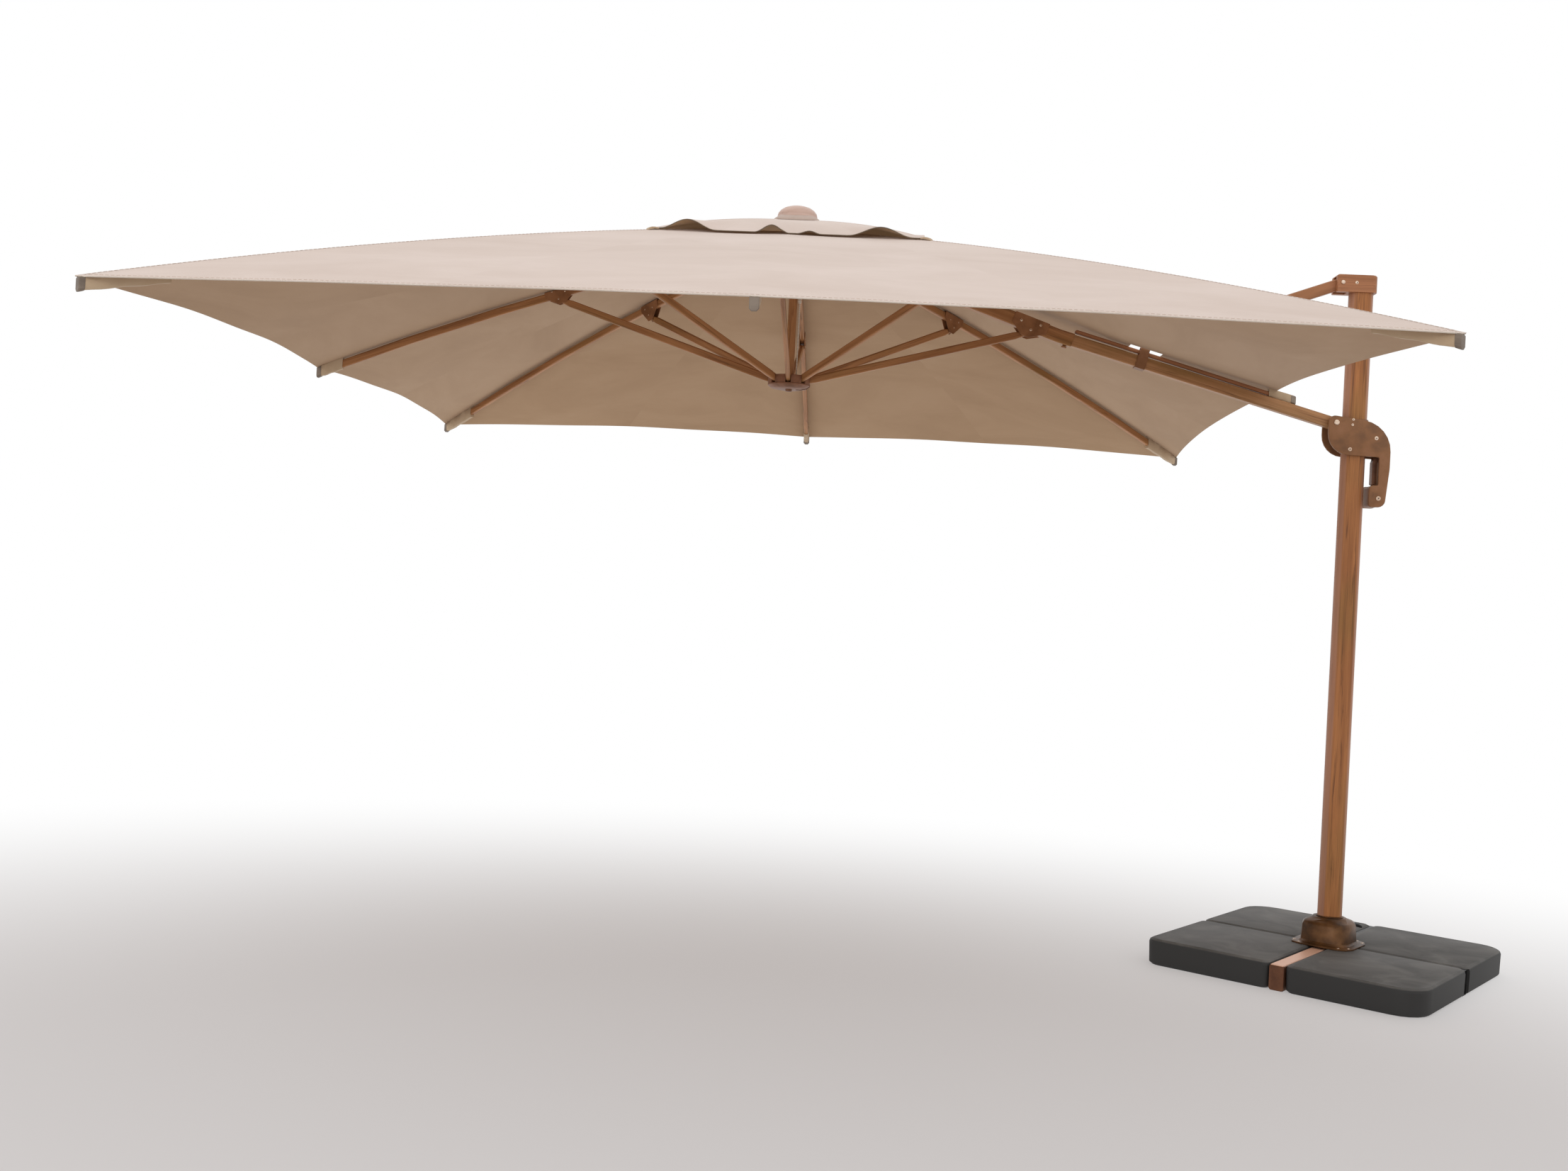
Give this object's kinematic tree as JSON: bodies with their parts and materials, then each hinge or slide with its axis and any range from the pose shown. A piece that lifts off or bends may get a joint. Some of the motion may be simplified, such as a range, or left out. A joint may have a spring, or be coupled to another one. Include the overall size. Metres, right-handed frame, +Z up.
{
  "type": "cantilever patio umbrella",
  "caption": "Square cantilever patio umbrella: side mast with slider and boom, ribbed folding canopy with vent, cross base with slab weights.",
  "frame": {"origin": "on the ground under the mast's axis, in the middle of the cross base's underside", "axes": "+Z up the mast, -X towards the canopy, +Y away from the side the release trigger's near plate faces"},
  "size_m": [4.4126, 3.5, 2.648],
  "materials": {
    "wood_bronze": "wood-grain bronze coating",
    "cast_bronze": "satin bronze coating on a casting",
    "cross_bronze": "satin bronze paint",
    "cross_cap": "matt moulded cap",
    "charcoal_shell": "matt textured shell, filled",
    "black_lever": "matt",
    "bright_steel": "bright",
    "canopy_cloth": "plain weave, sand",
    "lift_cord": "braided",
    "finial_plastic": "matt"
  },
  "bodies": {
    "base": {"weight_right": "charcoal_shell", "weight_back": "charcoal_shell", "weight_left": "charcoal_shell", "weight_front": "charcoal_shell", "cross_tube_long": "cross_bronze", "cross_tube_right": "cross_bronze", "cross_tube_left": "cross_bronze", "cross_end_cap_front": "cross_cap", "cross_end_cap_back": "cross_cap", "pole_base": "cast_bronze"},
    "pedal": {"foot_pedal": "black_lever"},
    "mast": {"mast_tube": "wood_bronze", "mast_foot": "cast_bronze", "mast_cap": "cast_bronze", "arm_pin": "bright_steel"},
    "arm": {"upper_arm": "wood_bronze"},
    "boom": {"boom_tube": "wood_bronze", "inner_arm": "wood_bronze", "collar_knob": "cast_bronze", "arm_lug": "cast_bronze", "lug_pin": "bright_steel", "mast_side_rib": "wood_bronze", "boom_bracket": "cast_bronze"},
    "slider": {"slider_sleeve": "cast_bronze", "slider_plate_near": "cast_bronze", "slider_plate_far": "cast_bronze", "boom_pin": "bright_steel", "handle_grip": "cast_bronze"},
    "trigger": {"release_trigger": "black_lever"},
    "hub": {"top_hub": "cast_bronze", "centre_post": "wood_bronze", "vent_finial": "finial_plastic", "lift_cord": "lift_cord", "canopy": "canopy_cloth", "vent_canopy": "canopy_cloth"},
    "runner": {"runner_crown": "cast_bronze", "runner_dish": "cast_bronze"},
    "strut_boom": {"strut_boom": "wood_bronze"},
    "rib_left": {"rib_left": "wood_bronze", "bracket_left": "cast_bronze"},
    "strut_left": {"strut_left": "wood_bronze"},
    "rib_near": {"rib_near": "wood_bronze", "bracket_near": "cast_bronze"},
    "strut_near": {"strut_near": "wood_bronze"},
    "rib_far": {"rib_far": "wood_bronze", "bracket_far": "cast_bronze"},
    "strut_far": {"strut_far": "wood_bronze"},
    "rib_near_left": {"rib_near_left": "wood_bronze", "bracket_near_left": "cast_bronze"},
    "strut_near_left": {"strut_near_left": "wood_bronze"},
    "rib_near_right": {"rib_near_right": "wood_bronze", "bracket_near_right": "cast_bronze"},
    "strut_near_right": {"strut_near_right": "wood_bronze"},
    "rib_far_left": {"rib_far_left": "wood_bronze", "bracket_far_left": "cast_bronze"},
    "strut_far_left": {"strut_far_left": "wood_bronze"},
    "rib_far_right": {"rib_far_right": "wood_bronze", "bracket_far_right": "cast_bronze"},
    "strut_far_right": {"strut_far_right": "wood_bronze"}
  },
  "joints": [
    {"name": "mast_swivel", "type": "hinge", "parent": "base", "child": "mast", "pos_m": [0, 0, 0.187], "axis": [0, 0, 1], "continuous": true},
    {"name": "foot_pedal_press", "type": "hinge", "parent": "base", "child": "pedal", "pos_m": [0.08195, 0.06403, 0.146], "axis": [-0.6157, 0.788, 0], "range_deg": [0, 14], "stiffness_Nm_per_rad": 2, "springref_deg": -8.59},
    {"name": "canopy_fold", "type": "hinge", "parent": "mast", "child": "arm", "pos_m": [-0.075, 0, 2.446], "axis": [0, -1, 0], "range_deg": [0, 66.4], "deforming": ["canopy", "vent_canopy"]},
    {"name": "boom_turn", "type": "hinge", "parent": "arm", "child": "boom", "pos_m": [-0.75, 0, 2.196], "axis": [0, 1, 0], "range_deg": [0, 132.8]},
    {"name": "slider_turn", "type": "hinge", "parent": "boom", "child": "slider", "pos_m": [-0.075, 0, 1.946], "axis": [0, -1, 0], "range_deg": [0, 66.4]},
    {"name": "trigger_pull", "type": "hinge", "parent": "slider", "child": "trigger", "pos_m": [0.083, 0, 1.8225], "axis": [0, -1, 0], "range_deg": [0, 6], "stiffness_Nm_per_rad": 0.5, "springref_deg": -5.73},
    {"name": "hub_turn", "type": "hinge", "parent": "boom", "child": "hub", "pos_m": [-1.97, 0, 2.53], "axis": [0, -1, 0], "range_deg": [0, 66.4]},
    {"name": "rib_left_fold", "type": "hinge", "parent": "hub", "child": "rib_left", "pos_m": [-2.09, 0, 2.53], "axis": [0, -1, 0], "range_deg": [0, 66.4]},
    {"name": "strut_left_fold", "type": "hinge", "parent": "rib_left", "child": "strut_left", "pos_m": [-2.88, 0, 2.272], "axis": [0, 1, 0], "range_deg": [0, 132.8]},
    {"name": "rib_near_fold", "type": "hinge", "parent": "hub", "child": "rib_near", "pos_m": [-2.03, -0.06, 2.53], "axis": [1, 0, 0], "range_deg": [0, 66.4]},
    {"name": "strut_near_fold", "type": "hinge", "parent": "rib_near", "child": "strut_near", "pos_m": [-2.03, -0.85, 2.272], "axis": [-1, 0, 0], "range_deg": [0, 132.8]},
    {"name": "rib_far_fold", "type": "hinge", "parent": "hub", "child": "rib_far", "pos_m": [-2.03, 0.06, 2.53], "axis": [-1, 0, 0], "range_deg": [0, 66.4]},
    {"name": "strut_far_fold", "type": "hinge", "parent": "rib_far", "child": "strut_far", "pos_m": [-2.03, 0.85, 2.272], "axis": [1, 0, 0], "range_deg": [0, 132.8]},
    {"name": "rib_near_left_fold", "type": "hinge", "parent": "hub", "child": "rib_near_left", "pos_m": [-2.07243, -0.04243, 2.53], "axis": [0.7071, -0.7071, 0], "range_deg": [0, 68.81]},
    {"name": "strut_near_left_fold", "type": "hinge", "parent": "rib_near_left", "child": "strut_near_left", "pos_m": [-2.63104, -0.60104, 2.325], "axis": [-0.7071, 0.7071, 0], "range_deg": [0, 130.94]},
    {"name": "rib_near_right_fold", "type": "hinge", "parent": "hub", "child": "rib_near_right", "pos_m": [-1.98757, -0.04243, 2.53], "axis": [0.7071, 0.7071, 0], "range_deg": [0, 68.81]},
    {"name": "strut_near_right_fold", "type": "hinge", "parent": "rib_near_right", "child": "strut_near_right", "pos_m": [-1.42896, -0.60104, 2.325], "axis": [-0.7071, -0.7071, 0], "range_deg": [0, 130.94]},
    {"name": "rib_far_left_fold", "type": "hinge", "parent": "hub", "child": "rib_far_left", "pos_m": [-2.07243, 0.04243, 2.53], "axis": [-0.7071, -0.7071, 0], "range_deg": [0, 68.81]},
    {"name": "strut_far_left_fold", "type": "hinge", "parent": "rib_far_left", "child": "strut_far_left", "pos_m": [-2.63104, 0.60104, 2.325], "axis": [0.7071, 0.7071, 0], "range_deg": [0, 130.94]},
    {"name": "rib_far_right_fold", "type": "hinge", "parent": "hub", "child": "rib_far_right", "pos_m": [-1.98757, 0.04243, 2.53], "axis": [-0.7071, 0.7071, 0], "range_deg": [0, 68.81]},
    {"name": "strut_far_right_fold", "type": "hinge", "parent": "rib_far_right", "child": "strut_far_right", "pos_m": [-1.42896, 0.60104, 2.325], "axis": [0.7071, -0.7071, 0], "range_deg": [0, 130.94]},
    {"name": "strut_boom_fold", "type": "hinge", "parent": "boom", "child": "strut_boom", "pos_m": [-1.185, 0, 2.222], "axis": [0, -1, 0], "range_deg": [0, 139.3]},
    {"name": "runner_turn", "type": "hinge", "parent": "strut_left", "child": "runner", "pos_m": [-2.09, 0, 2.014], "axis": [0, -1, 0], "range_deg": [0, 66.4], "deforming": ["lift_cord"]}
  ],
  "couplings": [
    {"joint": "boom_turn", "follows": "canopy_fold", "ratio": 2},
    {"joint": "slider_turn", "follows": "canopy_fold", "ratio": 1},
    {"joint": "hub_turn", "follows": "canopy_fold", "ratio": 1},
    {"joint": "rib_left_fold", "follows": "canopy_fold", "ratio": 1},
    {"joint": "strut_left_fold", "follows": "canopy_fold", "ratio": 2},
    {"joint": "rib_near_fold", "follows": "canopy_fold", "ratio": 1},
    {"joint": "strut_near_fold", "follows": "canopy_fold", "ratio": 2},
    {"joint": "rib_far_fold", "follows": "canopy_fold", "ratio": 1},
    {"joint": "strut_far_fold", "follows": "canopy_fold", "ratio": 2},
    {"joint": "rib_near_left_fold", "follows": "canopy_fold", "ratio": 1.0363},
    {"joint": "strut_near_left_fold", "follows": "canopy_fold", "ratio": 1.972},
    {"joint": "rib_near_right_fold", "follows": "canopy_fold", "ratio": 1.0363},
    {"joint": "strut_near_right_fold", "follows": "canopy_fold", "ratio": 1.972},
    {"joint": "rib_far_left_fold", "follows": "canopy_fold", "ratio": 1.0363},
    {"joint": "strut_far_left_fold", "follows": "canopy_fold", "ratio": 1.972},
    {"joint": "rib_far_right_fold", "follows": "canopy_fold", "ratio": 1.0363},
    {"joint": "strut_far_right_fold", "follows": "canopy_fold", "ratio": 1.972},
    {"joint": "strut_boom_fold", "follows": "canopy_fold", "ratio": 2.0979},
    {"joint": "runner_turn", "follows": "canopy_fold", "ratio": 1}
  ]
}
